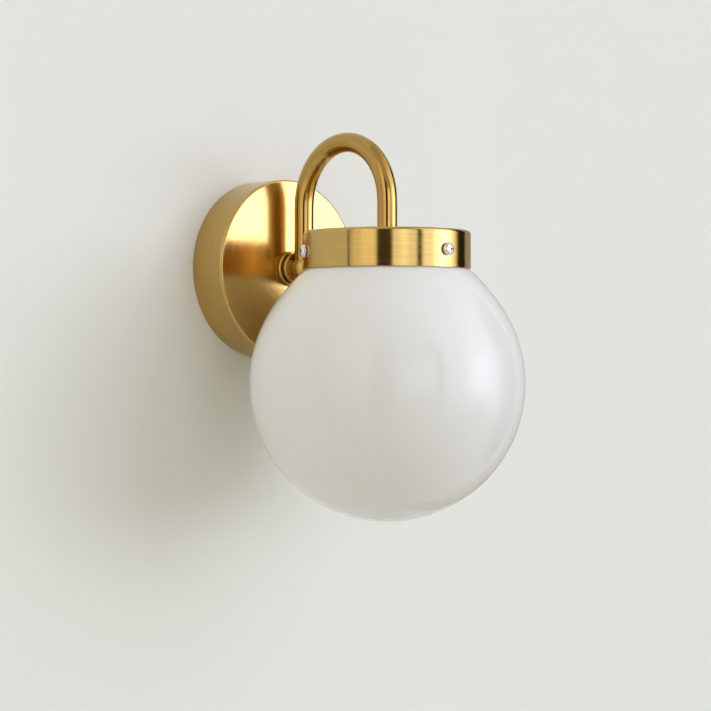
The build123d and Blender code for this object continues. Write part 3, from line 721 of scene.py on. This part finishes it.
# --------------------------------------------------------------------------------- lamp socket
# Moulded dome and sleeve round a ceramic core, which carries the threaded metal shell, the
# spring contact and the two screws for the leads.
black_finish = moulding("black_moulding", (0.02, 0.02, 0.02, 1), 0.38)
paint(black_finish, "socket_cap", "socket_body")
core_finish = moulding("socket_ceramic", (0.78, 0.75, 0.68, 1), 0.7)
paint(core_finish, "socket_core")
paint(brass_finish, "socket_shell", "socket_contact")
paint(steel_finish, "socket_terminals")

# ---------------------------------------------------------------------------------------- lamp
# Small globe lamp: a plated screw cap, a moulded neck and a frosted diffuser.
cap_finish = plated_steel("lamp_cap", 0.3 * mm)
paint(cap_finish, "bulb_base", "bulb_contact")
paint(black_finish, "bulb_insulator")
paint(white_finish, "bulb_body")
frosted = moulding("frosted_diffuser", (0.85, 0.85, 0.83, 1), 0.5)
paint(frosted, "bulb_globe")

# ------------------------------------------------------------------------------ wall and floor
# Plain painted wall behind the canopy, cut out inside it and clear when seen from behind, and a
# pale floor below.
wall_spread = 120.0         # the wall's outer edge, in radii of the hole behind the canopy
wall_gap = 0.2 * mm
wall_hole_steps = 128
floor_size = 48.0
floor_z = -1.3

bpy.ops.object.select_all(action="DESELECT")
bpy.ops.mesh.primitive_circle_add(vertices=wall_hole_steps, radius=canopy_r - canopy_wall)
wall = bpy.context.object
wall.name = "wall"
bpy.ops.object.mode_set(mode="EDIT")
bpy.ops.mesh.select_all(action="SELECT")
bpy.ops.mesh.extrude_edges_move()
bpy.ops.transform.resize(value=(wall_spread, wall_spread, 1), center_override=origin)
bpy.ops.mesh.select_all(action="SELECT")
bpy.ops.mesh.flip_normals()
bpy.ops.object.mode_set(mode="OBJECT")
wall.rotation_euler = (pi / 2, 0, 0)
wall.location = (0, wall_gap, 0)
wall_finish = Finish("wall_paint", Base_Color=(0.85, 0.855, 0.81, 1), Roughness=0.9)
back = wall_finish.node("ShaderNodeNewGeometry", {}, {}, "Backfacing")
clear = wall_finish.node("ShaderNodeBsdfTransparent", {}, {})
skin = Amount(wall_finish, wall_finish.skin.outputs[0])
both = wall_finish.node("ShaderNodeMixShader", {}, [back, skin, clear])
output = wall_finish.tree.nodes["Material Output"]
wall_finish.tree.links.new(both.socket, output.inputs["Surface"])
wall.data.materials.append(wall_finish.material)

bpy.ops.object.select_all(action="DESELECT")
bpy.ops.mesh.primitive_plane_add(size=floor_size, location=(0, 0, floor_z))
floor = bpy.context.object
floor.name = "floor"
floor_finish = Finish("floor_paint", Base_Color=(0.60, 0.57, 0.46, 1), Roughness=0.8)
floor.data.materials.append(floor_finish.material)
floor.visible_glossy = False

# Painted dark reflections: a dark sheet on the wall to the left and a dull one to the right, beyond
# the picture's edges.
# The camera, diffuse light and shadows pass through them, so only the brass and the glass mirror them.
strip_height = 1.2
strip_gap = 1 * mm
# Painted dark reflections: the colours of the two sheets, which only mirrored rays see.
dark_reflection_finish = Finish("painted_dark_reflection", Base_Color=(0.06, 0.05, 0.04, 1), Roughness=1.0)
dull_reflection_finish = Finish("painted_dull_reflection", Base_Color=(0.44, 0.39, 0.31, 1), Roughness=1.0)
strips = (
    ("dark_reflection_strip", dark_reflection_finish, -0.9, 0.3),
    ("dull_reflection_strip", dull_reflection_finish, 1.4, 2.4),
)
for name, finish, middle, width in strips:
    bpy.ops.object.select_all(action="DESELECT")
    bpy.ops.mesh.primitive_plane_add(size=1, location=(middle, -strip_gap, 0), rotation=(pi / 2, 0, 0))
    strip = bpy.context.object
    strip.name = name
    strip.scale = (width, strip_height, 1)
    strip.visible_camera = False
    strip.visible_diffuse = False
    strip.visible_shadow = False
    strip.data.materials.append(finish.material)

# ---------------------------------------------------------------------------------------- room
# A large soft window light from the right, weaker ones in front and to the left, and the dark
# gaps between them that the brass shows. Angles are in degrees from straight ahead of the wall,
# positive to the right and upwards.
world = bpy.data.worlds.new("room")
world.use_nodes = True
bpy.context.scene.world = world
bpy.context.scene.view_settings.view_transform = "Standard"
room = Graph(world.node_tree)
x, y, z = room.split(room.node("ShaderNodeTexCoord", {}, {}, "Generated"))
degree = radians(1)
azimuth = x.math("ARCTAN2", x, 0 - y) / degree
elevation = z.math("ARCSINE", z) / degree
light = room.mix(room.rise(elevation, -20, 60), (0.72, 0.67, 0.60, 1), (0.62, 0.58, 0.52, 1))


def hang(light, left, right, low, high, soft_side, soft_end, radiance, tint):
    """Hangs a panel in the room, or with little radiance a dark gap, with soft edges."""
    across = room.rise(azimuth, left - soft_side, left + soft_side)
    across = across * (1 - room.rise(azimuth, right - soft_side, right + soft_side))
    up = room.rise(elevation, low - soft_end, low + soft_end)
    up = up * (1 - room.rise(elevation, high - soft_end, high + soft_end))
    return room.mix(across * up, light, (*[radiance * part for part in tint], 1))


gap_tint = (1, 0.8, 0.5)
sky_tint = (1, 1.05, 1.15)

# Left: a warm wall, a brighter patch on it, and the dark gap beside it.
light = hang(light, -96, -57, -25, 45, 1, 8, 1.08, (1, 0.94, 0.79))
light = hang(light, -80, -61, 2, 30, 1, 2, 1.45, (1, 0.94, 0.82))
light = hang(light, -58, -38, -20, 30, 1.5, 8, 0.07, gap_tint)

# Ahead: a window, and the bright sky in it.
light = hang(light, -36, -3, -7, 20, 1, 1, 1.35, sky_tint)
light = hang(light, -26, -15, 4, 14, 5, 4, 2.3, sky_tint)

# Right: a pale wall that starts at a dark post, the large window with its bright middle, and the
# dark gap beyond.
light = hang(light, 0, 80, -16, 60, 4, 10, 1.05, (1, 0.98, 0.92))
light = hang(light, -2, 4, -25, 35, 0.7, 8, 0.04, gap_tint)
light = hang(light, 6, 62, -14, 42, 1.5, 8, 1.7, (0.96, 1.01, 1.17))
light = hang(light, 27, 51, -7, 19, 9, 9, 4.6, (0.97, 1.01, 1.14))
light = hang(light, 67, 98, -30, 34, 2, 4, 0.03, gap_tint)

seen = room.node("ShaderNodeLightPath", {}, {}, "Is Camera Ray")
light = room.mix(seen, light, (0.84, 0.84, 0.82, 1))
background = world.node_tree.nodes["Background"]
world.node_tree.links.new(light.socket, background.inputs["Color"])

# -------------------------------------------------------------------------------------- camera
# Long lens, about 1.1 m from the lamp, to the left of straight ahead and level with the globe.
camera_turn = -44.05
camera_away = 1.0978
camera_z = -0.0497
camera_yaw = -0.90
camera_lens = 102.12
camera_sensor = 36


def aim(azimuth):
    """Level direction away from the object, in the room's angles."""
    turn = radians(azimuth)
    return Vector((sin(turn), -cos(turn), 0))


camera_data = bpy.data.cameras.new("camera")
camera_data.lens = camera_lens
camera_data.sensor_width = camera_sensor
camera = bpy.data.objects.new("camera", camera_data)
camera.location = Vector((0, lamp_y, camera_z)) + aim(camera_turn) * camera_away
looking = -aim(camera_turn - camera_yaw)
camera.rotation_euler = looking.to_track_quat("-Z", "Y").to_euler()
bpy.context.collection.objects.link(camera)
bpy.context.scene.camera = camera
